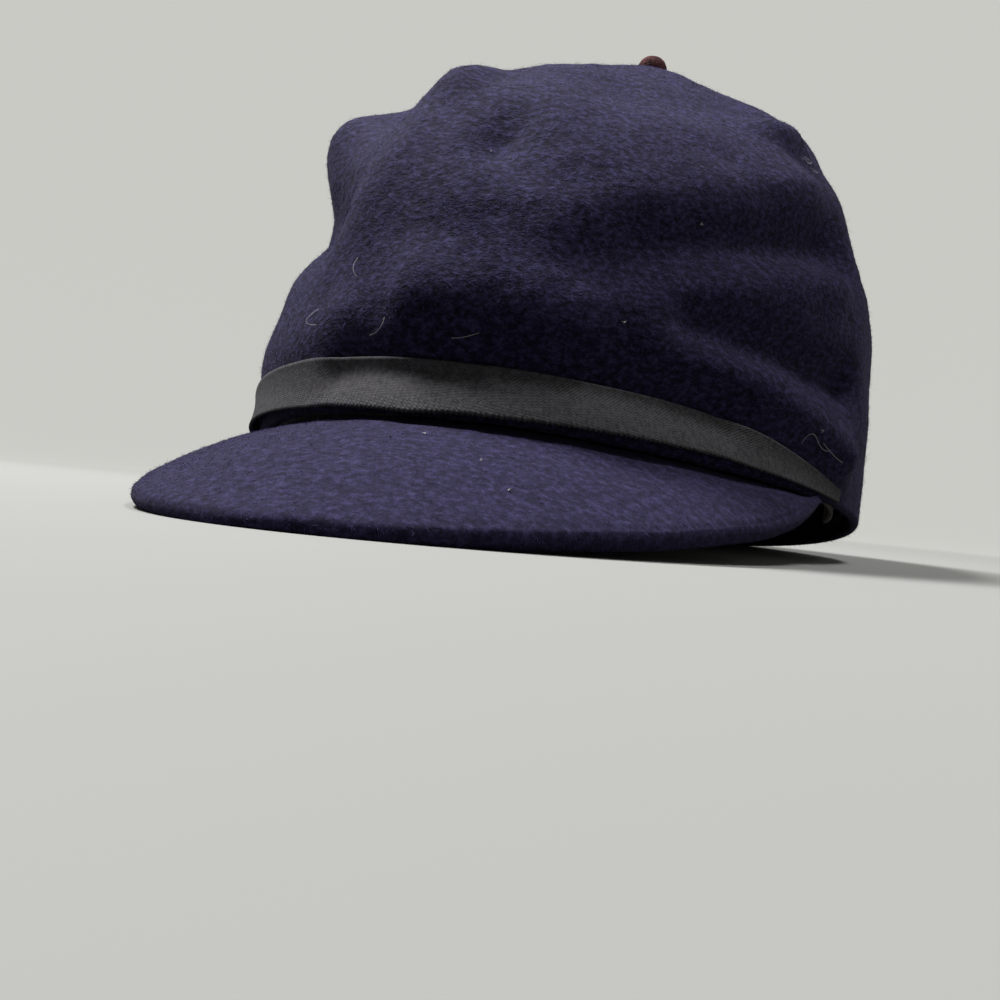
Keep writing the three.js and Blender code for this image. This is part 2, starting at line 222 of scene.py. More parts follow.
# Lint on the crown and the peak: pale hairs, each bent over a middle point, and specks
HAIRS = [
    dict(angle=-23.5, height=24, over_angle=-28.5, over_height=20.5, to_angle=-23, to_height=20),
    dict(angle=-7, height=20.5, over_angle=-7, over_height=17.4, to_angle=-10.5, to_height=17),
    dict(angle=5.8, height=17, over_angle=8, over_height=17.3, to_angle=10.4, to_height=18.6),
    dict(angle=-17, height=36, over_angle=-17.5, over_height=33, to_angle=-16, to_height=31),
    dict(angle=66, height=90, over_angle=70, over_height=89.5, to_angle=66.5, to_height=88),
    dict(angle=66.5, height=88, over_angle=63, over_height=87, to_angle=66.5, to_height=86),
    dict(angle=66.5, height=86, over_angle=70, over_height=85.5, to_angle=65.5, to_height=84),
    dict(angle=64.5, height=88.5, over_angle=66, over_height=86, to_angle=69, to_height=87.5),
    dict(angle=62.5, height=11, over_angle=62, over_height=15, to_angle=64.5, to_height=13),
    dict(angle=64.5, height=13, over_angle=66, over_height=10.5, to_angle=68, to_height=11.5),
    dict(angle=66, height=12.5, over_angle=68.5, over_height=10.5, to_angle=71.5, to_height=10),
]
HAIR_WIDTH = 0.12
HAIR_POINTS = 11
HAIR_STANDOFF = 0.5
HAIR_ARCH = 0.6
SPECKS = [
    dict(angle=3.3, height=67, size=0.45),
    dict(angle=8, height=65, size=0.35),
    dict(angle=42, height=55.5, size=0.55),
    dict(angle=31.5, height=26, size=0.4),
    dict(angle=65, height=15, size=0.5),
    dict(angle=0, height=51, size=0.35),
]
PEAK_SPECKS = [
    dict(swing=4, forward=0.3, size=0.5),
    dict(swing=9, forward=0.22, size=0.4),
    dict(swing=24, forward=0.45, size=0.4),
    dict(swing=31, forward=0.7, size=0.55),
]
SPECK_STANDOFF = 0.3
SPECK_FACES = 6

# How the cap lies on the floor: what the floor presses flat, and the middle of its footprint
RIM_PRESS = 2
PEAK_PRESS = 1
FOOTPRINT_MIDDLE = (0, -131.22)

# Stage, in metres: a pale floor that sweeps up into a wall and takes on its glow between two reaches.
# The glow is dimmest in front of the cap, up to the end of the shade, and full behind it.
FLOOR_COLOUR = (0.158, 0.158, 0.151)
WALL_GLOW = (0.58, 0.585, 0.55)
WALL_SHADE = (0.09, 0.09, 0.086)
FLOOR_REACH = 0.28
WALL_REACH = 0.75
SHADE_END = -1.5
GLOW_START = 0.25
FLOOR_RADIUS = 1.1
SWEEP_RADIUS = 0.9
WALL_HEIGHT = 2.2
STAGE_SIDES = 96
SWEEP_STEPS = 13

# Camera: the photograph's direction to the cap, with the eye raised to just above the floor
FRAME_PIXELS = 1000
FOCAL_PIXELS = 1173
SENSOR_WIDTH = 36
EYE = (111.02, -307.19, 10)
LOOK_AZIMUTH = 21.24
LOOK_ELEVATION = -0.32
CAMERA_ROLL = 5.64

# Light: two soft lamps overhead, places in metres and powers in watts, and a faint even glow
KEY_PLACE = (-0.62, -0.06, 1.25)
KEY_POWER = 61
FILL_PLACE = (0.38, 0.02, 1.32)
FILL_POWER = 19
LIGHT_TARGET = (0, 0, 0.05)
LIGHT_SIZE = 0.36
WORLD_COLOUR = (1, 1, 0.98, 1)
WORLD_STRENGTH = 0.04

# Colours of the cloths, from the darkest places to the lightest, and what makes the wool uneven and soft
NAVY = [(0.0034, 0.003, 0.0071), (0.0096, 0.0081, 0.0222), (0.0254, 0.0214, 0.06)]
PEAK_NAVY = [(0.0053, 0.0046, 0.0112), (0.0096, 0.0081, 0.0222), (0.0218, 0.0183, 0.0484)]
FLAP_NAVY = [(0.005, 0.005, 0.011), (0.011, 0.01, 0.022), (0.022, 0.021, 0.042)]
BUTTON_RED = [(0.0136, 0.0051, 0.0051), (0.034, 0.011, 0.0102), (0.064, 0.0238, 0.0221)]
CROWN_FIBRE = [(0.0046, 0.0039, 0.011), (0.0352, 0.0296, 0.0865)]
PEAK_FIBRE = [(0.0153, 0.0129, 0.0364), (0.027, 0.0228, 0.0656)]
FACING_GREY = [(0.07, 0.067, 0.064), (0.15, 0.144, 0.14)]
COTTON_GREY = [(0.11, 0.105, 0.097), (0.2, 0.192, 0.178)]
TAPE_CHARCOAL = [(0.0125, 0.0118, 0.0132), (0.056, 0.0533, 0.0585)]
LINT_COLOUR = (0.18, 0.176, 0.172, 1)
CLUMP_SCALE = 560
CLUMP_SHARE = 0.85
GRAIN_SCALE = 1500
GRAIN_SHARE = 0.15
WOOL_SHEEN = 0.025
WOOL_SHEEN_TINT = (0.5, 0.48, 0.68, 1)
FIBRE_SHEEN = 0.04
FIBRE_SHEEN_TINT = (0.75, 0.72, 1, 1)
FIBRE_ROUGHNESS = 0.95

# Pitches of the woven threads in millimetres, and the height of their relief
FACING_PITCH = 0.7
FACING_RELIEF = 0.25
COTTON_PITCH = 0.8
COTTON_RELIEF = 0.3

# Points that the fibres grow away from, in metres: one inside the crown and one under the peak
INSIDE_CROWN = np.array([0, 0.02, 0.05])
UNDER_PEAK = np.array([0, -0.09, -0.2])


def smoothstep(value, low, high):
    share = np.clip((value - low) / (high - low), 0, 1)
    return share * share * (3 - 2 * share)


def unit(vectors):
    return vectors / np.maximum(np.linalg.norm(vectors, axis=-1, keepdims=True), 1e-12)


def between(rows, column, position):
    """Value of one column of a table between its rows, on a smooth curve through them."""
    values = np.array([row[column] for row in rows], float)
    last = len(values) - 1
    start = np.clip(np.floor(position).astype(int), 0, last - 1)
    here = values[start]
    ahead = values[start + 1]
    rise = (ahead - values[np.maximum(start - 1, 0)]) / 2
    next_rise = (values[np.minimum(start + 2, last)] - here) / 2
    bend = 3 * (ahead - here) - 2 * rise - next_rise
    twist = rise + next_rise - 2 * (ahead - here)
    part = position - start
    return here + part * (rise + part * (bend + part * twist))


def position_of(rows, column, value):
    """Position in a table, counted in rows, where a rising column reaches a value."""
    positions = np.linspace(0, len(rows) - 1, 4000)
    return np.interp(value, between(rows, column, positions), positions)


def smooth_crown(angle, position):
    """Unfolded crown at an angle from the front, in degrees, and a position in the table of sections."""
    turn = np.radians(angle)
    forward = np.cos(turn)
    front = between(CROWN_SECTIONS, "front", position)
    back = between(CROWN_SECTIONS, "back", position)
    narrowing = FRONT_NARROWING * np.maximum(forward, 0) ** 2
    half = between(CROWN_SECTIONS, "side", position) * (1 - narrowing)
    across = between(CROWN_SECTIONS, "lean", position) + half * np.sin(turn)
    along = -np.where(forward > 0, front, back) * forward
    height = between(CROWN_SECTIONS, "height", position) + 0 * turn
    return np.stack([across, along, height], axis=-1)


def outward_of(surface, angle, position):
    """Outward direction of a surface given by angle and position."""
    here = np.minimum(position, CROWN_TOP - 0.02)
    along = surface(angle + 0.5, here) - surface(angle - 0.5, here)
    above = np.minimum(here + 0.02, CROWN_TOP)
    below = np.maximum(here - 0.02, 0)
    upward = surface(angle, above) - surface(angle, below)
    return unit(np.cross(along, upward))


def fold_lift(angle, point):
    """How far the folds raise the smooth crown at a point, which is at an angle from the front."""
    arc = np.radians(np.hypot(point[..., 0], point[..., 1]))
    lift = np.zeros(arc.shape)
    for fold in CROWN_FOLDS:
        away_along = (np.mod(angle - fold["angle"] + 180, 360) - 180) * arc
        away_up = point[..., 2] - fold["height"]
        line_along = (fold["to_angle"] - fold["angle"]) * arc
        line_up = fold["to_height"] - fold["height"]
        length_squared = np.maximum(line_along**2 + line_up**2, 1)
        share = np.clip((away_along * line_along + away_up * line_up) / length_squared, 0, 1)
        distance = np.hypot(away_along - share * line_along, away_up - share * line_up)
        height = fold["lift"] + (fold["to_lift"] - fold["lift"]) * share
        lift += height * np.exp(-((distance / fold["width"]) ** 2))
    return lift


def crown_outer(angle, position):
    point = smooth_crown(angle, position)
    return point + outward_of(smooth_crown, angle, position) * fold_lift(angle, point)[..., None]


def crown_inset(angle, position, depth, surface=crown_outer):
    """Point a given depth inside the crown's outer face, or outside it where the depth is negative."""
    depth = np.asarray(depth, float)[..., None]
    return surface(angle, position) - outward_of(surface, angle, position) * depth


def crown_inset_at_height(angle, height, depth, surface=crown_outer):
    return crown_inset(angle, position_of(CROWN_SECTIONS, "height", height), depth, surface)


def ripple(points, wavelength, seed):
    """Even random waves of about one wavelength through space, with a height of about one."""
    draw = np.random.default_rng(seed)
    waves = 18
    directions = unit(draw.normal(size=(waves, 3)))
    pitches = wavelength * draw.uniform(0.75, 1.35, waves)
    starts = draw.uniform(0, 2 * np.pi, waves)
    total = np.zeros(points.shape[:-1])
    for direction, pitch, start in zip(directions, pitches, starts):
        total += np.cos(points @ direction * (2 * np.pi / pitch) + start)
    return total / math.sqrt(waves / 2)


def cloth_relief(points):
    """Unevenness of felted cloth at points in millimetres."""
    relief = np.zeros(points.shape[:-1])
    for seed, row in enumerate(CLOTH_RIPPLES):
        relief += row["height"] * ripple(points, row["wavelength"], seed)
    return relief


def peak_edge(swing):
    """Front edge of the peak, by swing from -90 degrees at one end to 90 at the other."""
    turn = np.radians(swing)
    forward = np.abs(np.cos(turn))
    end = smooth_crown(np.array(PEAK_END_ANGLE), np.array(0.0))
    across = PEAK_HALF_WIDTH * (1 - PEAK_PINCH * forward**2) * np.sin(turn)
    along = end[1] - PEAK_REACH * forward
    height = -PEAK_DROP * forward**PEAK_DROP_SHARPNESS
    return np.stack([across, along, height], axis=-1)


def peak_strips(swing):
    """Strips of the peak at an array of swings: where each starts, its two directions and its sizes."""
    root = crown_inset(PEAK_END_ANGLE * swing / 90, np.zeros(len(swing)), WOOL_THICKNESS)
    root[:, 2] = -GAP
    tip = peak_edge(swing)
    tip[:, 2] = np.minimum(tip[:, 2] + 0.6 * PEAK_THICKNESS, root[:, 2])
    aside = peak_edge(np.minimum(swing + 1, 90)) - peak_edge(np.maximum(swing - 1, -90))
    length = np.linalg.norm(tip - root, axis=1)
    along = unit(tip - root)
    up = unit(np.cross(along, aside))
    up *= np.where(up[:, 2:] < 0, -1, 1)
    fullness = smoothstep(length, 3, 16)
    return dict(
        root=root,
        along=along,
        up=up,
        length=length,
        thickness=PEAK_END_THICKNESS + (PEAK_THICKNESS - PEAK_END_THICKNESS) * fullness,
        hem=np.minimum(HEM_WIDTH, 0.4 * length),
        recess=FACING_RECESS * fullness,
        bulge=PEAK_BULGE * fullness,
    )


def bulge_at(strips, forward):
    """Rise of the peak's curved top over the straight line from root to edge."""
    return strips["bulge"] * np.sin(np.pi * np.clip(forward / strips["length"], 0, 1))


def on_strips(strips, forward, upward):
    return strips["root"] + strips["along"] * forward[:, None] + strips["up"] * upward[:, None]


def floor_tilt():
    """Angle that brings the peak's lowest edge and the back rim level."""
    strips = peak_strips(np.array([0.0]))
    forward = strips["length"] - strips["thickness"] / 2
    tip = on_strips(strips, forward, -strips["thickness"])[0]
    return -math.atan2(RIM_PRESS - PEAK_PRESS - tip[2], CROWN_SECTIONS[0]["back"] - tip[1])


TILT = floor_tilt()


def settle(points):
    """Carries points from the rim plane, in millimetres, to the floor, in metres."""
    along = points[..., 1] - CROWN_SECTIONS[0]["back"]
    height = points[..., 2] - RIM_PRESS
    settled_along = along * math.cos(TILT) - height * math.sin(TILT) - FOOTPRINT_MIDDLE[1]
    settled_height = along * math.sin(TILT) + height * math.cos(TILT)
    across = points[..., 0] - FOOTPRINT_MIDDLE[0]
    return np.stack([across, settled_along, np.maximum(settled_height, 0)], axis=-1) * MM


def add_piece(name, points, faces, replaced=None):
    """New mesh piece of the cap, in the rest frame."""
    mesh = bpy.data.meshes.new(name)
    mesh.from_pydata(points.reshape(-1, 3), [], faces)
    mesh.update()
    mesh.polygons.foreach_set("use_smooth", np.full(len(mesh.polygons), True))
    piece = bpy.data.objects.new(name, mesh)
    bpy.context.scene.collection.objects.link(piece)
    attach(piece, "root")
    if replaced:
        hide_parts(replaced)
    return piece


def loft(name, loops, replaced):
    """Closed piece through a row of like loops, an array of stations by points, with both ends capped."""
    stations, count = loops.shape[:2]
    station = np.arange(stations - 1)[:, None] * count
    corner = np.arange(count)[None, :]
    following = (corner + 1) % count
    here = station + corner
    beside = station + following
    quads = np.stack([here, beside, beside + count, here + count], axis=-1).reshape(-1, 4)
    last = (stations - 1) * count
    caps = [list(range(count - 1, -1, -1)), list(range(last, last + count))]
    piece = add_piece(name, loops, quads.tolist() + caps, replaced)
    lengths = np.linalg.norm(np.diff(loops, axis=0), axis=2).max(axis=1)
    along = np.concatenate([[0], np.cumsum(lengths)])
    middle = loops[stations // 2]
    across = np.linalg.norm(np.roll(middle, -1, axis=0) - middle, axis=1)
    across = np.concatenate([[0], np.cumsum(across)])
    corners = np.zeros((len(piece.data.loops), 2), np.float32)
    column = np.broadcast_to(corner, here.shape).ravel()
    row = np.broadcast_to(np.arange(stations - 1)[:, None], here.shape).ravel()
    quad_corners = corners[: len(quads) * 4].reshape(-1, 4, 2)
    for index, (next_row, next_column) in enumerate([(0, 0), (0, 1), (1, 1), (1, 0)]):
        quad_corners[:, index, 0] = along[row + next_row]
        quad_corners[:, index, 1] = across[column + next_column]
    layer = piece.data.uv_layers.new(name="cloth")
    layer.data.foreach_set("uv", corners.ravel())
    return piece


def set_tone(piece, tone):
    """Keeps a shade from 0 to 1 at each point of a piece, for its material."""
    attribute = piece.data.color_attributes.new("tone", "FLOAT_COLOR", "POINT")
    values = np.repeat(np.asarray(tone, np.float32)[:, None], 4, axis=1)
    attribute.data.foreach_set("color", values.ravel())


def closed_profile(outer, inner):
    """Loops round a strip of cloth, from its outer and inner layers of rows by stations."""
    return np.concatenate([outer, inner[::-1]]).swapaxes(0, 1)


def make_crown():
    """Crown with a rounded rim: rings from the top down its outer face, and up its inner face."""
    angle = np.linspace(-180, 180, CROWN_COLUMNS, endpoint=False)[None, :]
    rim = position_of(CROWN_SECTIONS, "height", RIM_ROUNDING)
    position = np.linspace(CROWN_TOP - 0.01, rim, CROWN_ROWS)[:, None]
    plain = crown_outer(angle, position)
    fade = smoothstep(plain[..., 2], RIPPLE_START_HEIGHT, RIPPLE_FULL_HEIGHT)
    relief = (cloth_relief(plain) * fade)[..., None]
    outer = plain + outward_of(crown_outer, angle, position) * relief
    inner_position = np.linspace(rim, CROWN_TOP - 0.01, CROWN_INNER_ROWS)[:, None]
    inner = crown_inset(angle, inner_position, np.array(WOOL_THICKNESS))
    turn = np.linspace(0, np.pi, RIM_STEPS + 2)[1:-1][:, None, None]
    middle = (outer[-1] + inner[0]) / 2
    half = (outer[-1] - inner[0]) / 2
    down = np.array([0, 0, -RIM_ROUNDING])
    edge = middle + half * np.cos(turn) + down * np.sin(turn)
    loops = settle(np.concatenate([outer, edge, inner]))
    piece = loft("crown_wool", loops, "crown")
    return piece, loops[: CROWN_ROWS + RIM_STEPS]


def make_peak():
    """Peak with a rolled edge, from strips that run from the crown's rim forward."""
    strips = peak_strips(np.linspace(-90, 90, PEAK_STATIONS))
    thickness = strips["thickness"]
    front = strips["length"] - thickness / 2
    inside = strips["length"] - strips["hem"]
    rows = []
    for share in np.linspace(0, 1, PEAK_TOP_STEPS, endpoint=False):
        rows.append(on_strips(strips, front * share, bulge_at(strips, front * share)))
    for turn in np.radians(np.linspace(90, -90, PEAK_EDGE_STEPS)):
        forward = front + thickness / 2 * math.cos(turn)
        rows.append(on_strips(strips, forward, thickness / 2 * (math.sin(turn) - 1)))
    for share in (0.5, 1):
        forward = front + (inside - front) * share
        rows.append(on_strips(strips, forward, bulge_at(strips, forward) * share - thickness))
    for share in np.linspace(1, 0, PEAK_UNDER_STEPS):
        forward = inside * share
        rows.append(on_strips(strips, forward, bulge_at(strips, forward) - thickness + strips["recess"]))
    rows = np.array(rows)
    skin_rows = PEAK_TOP_STEPS + PEAK_EDGE_STEPS
    relief = cloth_relief(rows[:skin_rows]) * PEAK_RELIEF * smoothstep(strips["length"], 10, 40)
    rows[:skin_rows] += strips["up"] * relief[..., None]
    loops = settle(rows).swapaxes(0, 1)
    piece = loft("peak_wool", loops, "peak")
    return piece, loops[:, :skin_rows].swapaxes(0, 1)


def make_peak_facing():
    """Cloth facing, let into the underside of the peak."""
    strips = peak_strips(np.linspace(-FACING_SPAN, FACING_SPAN, FACING_STATIONS))
    shares = np.linspace(FACING_START, 1, FACING_STEPS)

    def layer(depth):
        rows = []
        for share in shares:
            forward = share * (strips["length"] - strips["hem"] - GAP)
            upward = bulge_at(strips, forward) - strips["thickness"] + strips["recess"] - depth
            rows.append(on_strips(strips, forward, upward))
        return np.array(rows)

    loops = closed_profile(layer(GAP + FACING_THICKNESS), layer(GAP))
    return loft("peak_facing", settle(loops), "peak_underside")


def make_tape():
    """Herringbone tape on the outside of the crown, its serrated lower edge standing off."""
    end = TAPE_SECTIONS[-1]["angle"]
    angle = np.linspace(-end, end, TAPE_STATIONS)[None, :]
    position = position_of(TAPE_SECTIONS, "angle", np.abs(angle))
    low = between(TAPE_SECTIONS, "low", position)
    high = between(TAPE_SECTIONS, "high", position)
    run = smooth_crown(angle[0], np.zeros(TAPE_STATIONS))
    run = np.concatenate([[0], np.cumsum(np.linalg.norm(np.diff(run, axis=0), axis=1))])[None, :]
    low = low + EDGE_SERRATION * np.cos(run * 2 * np.pi / RIB_PITCH)

    def layer(depth, steps):
        share = np.linspace(0, 1, steps)[:, None]
        height = low + (high - low) * share
        standoff = TAPE_CLEARANCE + between(TAPE_SECTIONS, "standoff", position) * (1 - share) ** 2
        points = crown_inset_at_height(angle, height, -(standoff + depth))
        points[..., 2] += np.minimum(height, 0)
        return points

    loops = closed_profile(layer(TAPE_THICKNESS, TAPE_STEPS), layer(0, TAPE_BACK_STEPS))
    return loft("tape_cloth", settle(loops), "front_band")


def make_sweatband():
    """Sweatband inside the front and sides, over the ends of the earflap."""
    flap_start = EARFLAP_SECTIONS[0]["angle"]
    angle = np.linspace(-SWEATBAND_END, SWEATBAND_END, SWEATBAND_STATIONS)[None, :]
    share = np.linspace(0, 1, SWEATBAND_STEPS)[:, None]
    over_flap = smoothstep(np.abs(angle), flap_start - FLAP_LEDGE, flap_start - 2)
    over_flap = over_flap * (FLAP_THICKNESS + EARFLAP_CLEARANCE)
    standoff = np.maximum(over_flap, SWEATBAND_STANDOFF * np.sqrt(share))
    height = SWEATBAND_LOW + (SWEATBAND_HIGH - SWEATBAND_LOW) * share + 0 * angle

    def layer(depth):
        inset = WOOL_THICKNESS + SWEATBAND_CLEARANCE + standoff + depth
        return crown_inset_at_height(angle, height, inset, smooth_crown)

    loops = closed_profile(layer(0), layer(COTTON_THICKNESS))
    return loft("sweatband_cotton", settle(loops), "sweatband")


def make_earflap():
    """Earflap turned up inside, round the sides and back."""
    start = EARFLAP_SECTIONS[0]["angle"]
    angle = np.linspace(start, 360 - start, EARFLAP_STATIONS)[None, :]
    share = np.linspace(0, 1, EARFLAP_STEPS)[:, None]
    position = position_of(EARFLAP_SECTIONS, "angle", 180 - np.abs(angle - 180))
    high = between(EARFLAP_SECTIONS, "high", position)
    height = EARFLAP_LOW + (high - EARFLAP_LOW) * share

    def layer(depth):
        return crown_inset_at_height(angle, height, np.array(WOOL_THICKNESS + EARFLAP_CLEARANCE + depth))

    loops = closed_profile(layer(0), layer(FLAP_THICKNESS))
    return loft("earflap_wool", settle(loops), "earflap")


def make_button():
    """Cloth-covered button, gathered in soft pleats round its side."""
    top = smooth_crown(np.array(0.0), np.array(float(CROWN_TOP)))
    turn = np.linspace(0, 2 * np.pi, BUTTON_SIDES, endpoint=False)
    rows = []
    for place in BUTTON_OUTLINE:
        height = place["height"]
        pleat = 1 - BUTTON_PLEAT_DEPTH * np.cos(BUTTON_PLEATS * turn) ** 2 * (1 - height)
        across = BUTTON_RADIUS * place["radius"] * pleat
        level = np.full(BUTTON_SIDES, GAP + BUTTON_HEIGHT * height)
        rows.append(top + np.stack([across * np.cos(turn), across * np.sin(turn), level], axis=-1))
    return loft("button_cloth", settle(np.array(rows)), "top_button")


def scatter(grid, count, inside):
    """Random places on a grid of points, even by area, with a direction along it and one outward."""
    corner = grid[:-1, :-1]
    area = np.linalg.norm(np.cross(grid[:-1, 1:] - corner, grid[1:, :-1] - corner), axis=-1)
    cell = rng.choice(area.size, count, p=area.ravel() / area.sum())
    row, column = np.unravel_index(cell, area.shape)
    across = rng.random((count, 1))
    down = rng.random((count, 1))
    upper = grid[row, column] * (1 - across) + grid[row, column + 1] * across
    lower = grid[row + 1, column] * (1 - across) + grid[row + 1, column + 1] * across
    place = upper * (1 - down) + lower * down
    along = unit(grid[row, column + 1] - grid[row, column])
    outward = unit(np.cross(along, unit(lower - upper)))
    outward *= np.sign(np.sum(outward * (place - inside), axis=1, keepdims=True))
    return place, along, outward


def fibres(name, grid, inside, slot, count, length, width, lift, segments):
    """Nap of fine wool fibres on a grid of points: bent, tapering ribbons in one joined mesh."""
    place, along, outward = scatter(grid, count, inside)
    aside = np.cross(outward, along)
    turned = ripple(place / MM, SWIRL_WAVELENGTH, SWIRL_SEED) * SWIRL_TURN
    swirl = turned + rng.normal(0, SWIRL_SPREAD, count)
    clump = ripple(place / MM * (1, 1, NAP_SQUASH), NAP_CLUMP, CLUMP_SEED)
    size = length * MM * rng.uniform(0.5, 1.3, count) * (1 + CLUMP_GROWTH * np.clip(clump, -1, 2))
    rise = lift * rng.uniform(0.2, 1.6, count)
    flat = along * np.cos(swirl)[:, None] + aside * np.sin(swirl)[:, None]
    direction = unit(flat + outward * rise[:, None])
    bend = np.cross(outward, flat) * rng.normal(0, FIBRE_BEND, (count, 1))
    twist = rng.uniform(-FIBRE_TWIST, FIBRE_TWIST, (count, 1))
    face = unit(np.cross(direction, outward)) * np.cos(twist) + outward * np.sin(twist)
    half = face * width * MM / 2
    root = outward * FIBRE_ROOT_DEPTH * MM
    rows = []
    for step in range(segments + 1):
        share = step / segments
        point = place + (direction * share + bend * share**2 * 0.5) * size[:, None] - root
        point[:, 2] = np.maximum(point[:, 2], FIBRE_CLEARANCE * MM)
        if step == segments:
            rows.append(point)
        else:
            rows += [point - half * (1 - 0.5 * share), point + half * (1 - 0.5 * share)]
    points = np.stack(rows, axis=1)
    corners = points.shape[1]
    first = np.arange(count)[:, None] * corners
    triangles = []
    for step in range(segments):
        left = first + 2 * step
        if step == segments - 1:
            triangles.append(np.concatenate([left, left + 1, left + 2], axis=1))
        else:
            triangles.append(np.concatenate([left, left + 1, left + 3], axis=1))
            triangles.append(np.concatenate([left, left + 3, left + 2], axis=1))
    piece = add_piece(name, points, np.concatenate(triangles).tolist())
    tone = np.clip(TONE_MIDDLE + TONE_CLUMP * clump + rng.normal(0, TONE_SPREAD, count), 0, 1)
    set_tone(piece, np.repeat(tone, corners))
    return piece


def make_lint():
    """Pale hairs and specks caught in the nap of the crown and the peak."""
    points = []
    faces = []
    share = np.linspace(0, 1, HAIR_POINTS)

    def bent(hair, column):
        start = (1 - share) ** 2 * hair[column]
        over = 2 * share * (1 - share) * hair["over_" + column]
        return start + over + share**2 * hair["to_" + column]

    for hair in HAIRS:
        angle = bent(hair, "angle")
        height = bent(hair, "height")
        line = crown_inset_at_height(angle, height, -HAIR_STANDOFF - HAIR_ARCH * np.sin(np.pi * share))
        position = position_of(CROWN_SECTIONS, "height", height)
        aside = np.cross(outward_of(crown_outer, angle, position), unit(np.gradient(line, axis=0)))
        first = len(points)
        for point, side in zip(line, aside):
            points += [point - side * HAIR_WIDTH / 2, point + side * HAIR_WIDTH / 2]
        for step in range(len(share) - 1):
            corner = first + 2 * step
            faces.append((corner, corner + 1, corner + 3, corner + 2))
    spots = []
    for speck in SPECKS:
        angle = np.array(speck["angle"])
        height = np.array(speck["height"])
        spot = crown_inset_at_height(angle, height, np.array(-SPECK_STANDOFF))
        spots.append((spot, speck["size"]))
    for speck in PEAK_SPECKS:
        strips = peak_strips(np.array([float(speck["swing"])]))
        forward = strips["length"] * speck["forward"]
        spot = on_strips(strips, forward, bulge_at(strips, forward) + SPECK_STANDOFF)[0]
        spots.append((spot, speck["size"]))
    for spot, size in spots:
        for _ in range(SPECK_FACES):
            first = len(points)
            points += list(spot + rng.normal(0, size / 2, (3, 3)))
            faces.append((first, first + 1, first + 2))
    return add_piece("lint", settle(np.array(points)), faces)


class Material:
    """A node material, with short ways to add its nodes and join them."""

    def __init__(self, name):
        self.material = bpy.data.materials.new(name)
        self.material.use_nodes = True
        self.tree = self.material.node_tree
        self.shader = self.tree.nodes["Principled BSDF"]

    def add(self, kind, inputs=None, **settings):
        node = self.tree.nodes.new(kind)
        for key, value in settings.items():
            setattr(node, key, value)
        for key, value in (inputs or {}).items():
            self.put(node.inputs[key], value)
        return node

    def put(self, socket, value):
        """Joins another node's output to a socket, or sets the socket's own value."""
        if isinstance(value, bpy.types.NodeSocket):
            self.tree.links.new(value, socket)
        else:
            socket.default_value = value

    def set(self, **values):
        for key, value in values.items():
            self.put(self.shader.inputs[key.replace("_", " ").title()], value)

    def noise(self, scale, detail=4, roughness=0.6, squash=1):
        """Cloudy noise through space, flattened in height where it is squashed."""
        place = self.add("ShaderNodeTexCoord").outputs["Object"]
        place = self.add("ShaderNodeMapping", {"Vector": place, "Scale": (1, 1, squash)}).outputs[0]
        sizes = {"Vector": place, "Scale": scale, "Detail": detail, "Roughness": roughness}
        return self.add("ShaderNodeTexNoise", sizes).outputs["Fac"]

    def math(self, operation, first, second):
        return self.add("ShaderNodeMath", {0: first, 1: second}, operation=operation).outputs[0]

    def rise(self, value, low, high):
        """Share from 0 to 1 of a value's smooth way from low to high."""
        sizes = {"Value": value, "From Min": low, "From Max": high}
        node = self.add("ShaderNodeMapRange", sizes, interpolation_type="SMOOTHSTEP")
        return node.outputs["Result"]

    def ramp(self, factor, *stops):
        """Colours at given shares of a factor."""
        node = self.add("ShaderNodeValToRGB", {"Fac": factor})
        for index, (share, colour) in enumerate(stops):
            stop = node.color_ramp.elements[index] if index < 2 else node.color_ramp.elements.new(share)
            stop.position = share
            stop.color = (*colour, 1)
        return node.outputs["Color"]

    def bump(self, height, strength, distance):
        sizes = {"Height": height, "Strength": strength, "Distance": distance * MM}
        self.put(self.shader.inputs["Normal"], self.add("ShaderNodeBump", sizes).outputs["Normal"])

    def wear(self, *pieces):
        for piece in pieces:
            piece.data.materials.clear()
            piece.data.materials.append(self.material)


def wool_material(name, dark, middle, light, squash=NAP_SQUASH, relief=0.6):
    """Felted wool: clumps of nap over a fine grain, matt, with a soft sheen."""
    wool = Material(name)
    clumps = wool.noise(CLUMP_SCALE, detail=3, roughness=0.7, squash=squash)
    grain = wool.noise(GRAIN_SCALE, detail=1)
    coarse = wool.math("MULTIPLY", clumps, CLUMP_SHARE)
    nap = wool.math("ADD", coarse, wool.math("MULTIPLY", grain, GRAIN_SHARE))
    wool.set(base_color=wool.ramp(nap, (0.36, dark), (0.66, light), (0.5, middle)))
    wool.set(roughness=wool.math("ADD", wool.math("MULTIPLY", grain, 0.2), 0.8))
    wool.bump(clumps, relief, 0.8)
    wool.shader.inputs["Sheen Weight"].default_value = WOOL_SHEEN
    wool.shader.inputs["Sheen Roughness"].default_value = 0.45
    wool.shader.inputs["Sheen Tint"].default_value = WOOL_SHEEN_TINT
    wool.shader.inputs["Specular IOR Level"].default_value = 0.05
    return wool


def toned_material(name, dark, light):
    """Material whose colour follows the tone kept at each point."""
    made = Material(name)
    tone = made.add("ShaderNodeVertexColor", layer_name="tone").outputs["Color"]
    made.set(base_color=made.ramp(tone, (0, dark), (1, light)))
    made.shader.inputs["Roughness"].default_value = FIBRE_ROUGHNESS
    made.shader.inputs["Sheen Weight"].default_value = FIBRE_SHEEN
    made.shader.inputs["Sheen Tint"].default_value = FIBRE_SHEEN_TINT
    made.shader.inputs["Specular IOR Level"].default_value = 0.04
    return made


